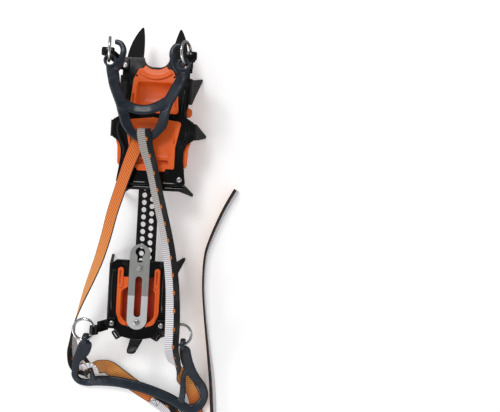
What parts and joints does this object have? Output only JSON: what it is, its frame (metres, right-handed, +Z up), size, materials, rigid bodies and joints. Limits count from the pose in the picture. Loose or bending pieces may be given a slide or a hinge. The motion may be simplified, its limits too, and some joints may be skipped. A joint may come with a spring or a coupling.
{
  "type": "strap crampon",
  "caption": "Strap crampon for a boot: two spiked steel sections on an adjustable linking bar, with anti-balling plates, toe and heel cradles on rings, and webbing.",
  "frame": {"origin": "sole plane, on the heel axis, at the rear edge of the front section", "axes": "+Y toward the toe, +X toward the inner side of the foot, +Z up out of the sole plane"},
  "size_m": [0.1978, 0.492, 0.1085],
  "materials": {
    "frame": "gloss black enamel on spring steel",
    "bar": "satin black enamel",
    "spring": "brushed stainless spring leaf",
    "rivet": "bright pressed rivets",
    "ring": "polished steel wire",
    "plate": "moulded orange plastic, slightly glossy",
    "cradle": "moulded slate elastomer, satin",
    "webbing": "woven orange webbing, grey and black on the other face"
  },
  "bodies": {
    "front": {"front_frame": "frame", "bar_keeper": "frame", "front_rivets": "rivet", "toe_antibott": "plate", "ball_antibott": "plate", "toe_post_left": "frame", "toe_post_right": "frame", "toe_post_rivets": "rivet", "linking_bar": "bar"},
    "toe_ring_l": {"toe_ring_left": "ring"},
    "toe_ring_r": {"toe_ring_right": "ring"},
    "toe_hold": {"toe_cradle": "cradle"},
    "heel": {"heel_frame": "frame", "heel_antibott": "plate", "bar_guide": "frame", "guide_rivets": "frame", "spring_rivet": "rivet", "heel_post_left": "frame", "heel_post_right": "frame", "heel_post_rivets": "rivet", "strap": "webbing"},
    "adjuster": {"adjuster_spring": "spring", "adjuster_pin": "rivet"},
    "heel_ring_l": {"heel_ring_left": "ring"},
    "heel_ring_r": {"heel_ring_right": "ring"},
    "heel_hold": {"heel_cradle": "cradle"},
    "buckle_low": {"buckle_ring_lower": "ring"},
    "buckle_high": {"buckle_ring_upper": "ring"}
  },
  "joints": [
    {"name": "heel_slide", "type": "slide", "parent": "front", "child": "heel", "axis": [0, 1, 0], "range_m": [0, 0.04225], "deforming": ["strap", "adjuster_spring", "adjuster_pin"]},
    {"name": "spring_lift", "type": "hinge", "parent": "heel", "child": "adjuster", "pos_m": [0, -0.158, 0.00095], "axis": [1, 0, 0], "range_deg": [0, 7], "stiffness_Nm_per_rad": 3, "springref_deg": -5.73, "deforming": ["adjuster_spring"]},
    {"name": "toe_cradle_swing", "type": "hinge", "parent": "front", "child": "toe_hold", "pos_m": [0.0065, 0.139, 0.04748], "axis": [-1, 0, 0], "range_deg": [0, 95], "deforming": ["strap"]},
    {"name": "heel_cradle_swing", "type": "hinge", "parent": "heel", "child": "heel_hold", "pos_m": [0.004, -0.1742, 0.02], "axis": [-1, 0, 0], "range_deg": [0, 120], "deforming": ["strap"]},
    {"name": "toe_ring_left_turn", "type": "hinge", "parent": "front", "child": "toe_ring_l", "pos_m": [-0.03399, 0.139, 0.04748], "axis": [0.9563, 0, -0.2924], "continuous": true},
    {"name": "toe_ring_right_turn", "type": "hinge", "parent": "front", "child": "toe_ring_r", "pos_m": [0.04699, 0.139, 0.04748], "axis": [0.9563, 0, 0.2924], "continuous": true},
    {"name": "heel_ring_left_turn", "type": "hinge", "parent": "heel", "child": "heel_ring_l", "pos_m": [-0.054, -0.164, 0.02], "axis": [0, 0, 1], "continuous": true},
    {"name": "heel_ring_right_turn", "type": "hinge", "parent": "heel", "child": "heel_ring_r", "pos_m": [0.054, -0.164, 0.02], "axis": [0, 0, 1], "continuous": true},
    {"name": "buckle_high_swing", "type": "hinge", "parent": "heel", "child": "buckle_high", "pos_m": [0.043, -0.284, -0.0411], "axis": [-0.7507, -0.6607, 0], "range_deg": [0, 75], "deforming": ["strap"]},
    {"name": "buckle_low_swing", "type": "hinge", "parent": "heel", "child": "buckle_low", "pos_m": [0.043, -0.284, -0.0443], "axis": [-0.7507, -0.6607, 0], "range_deg": [0, 15], "deforming": ["strap"]}
  ],
  "couplings": [
    {"joint": "buckle_low_swing", "follows": "buckle_high_swing", "ratio": 0.16}
  ]
}
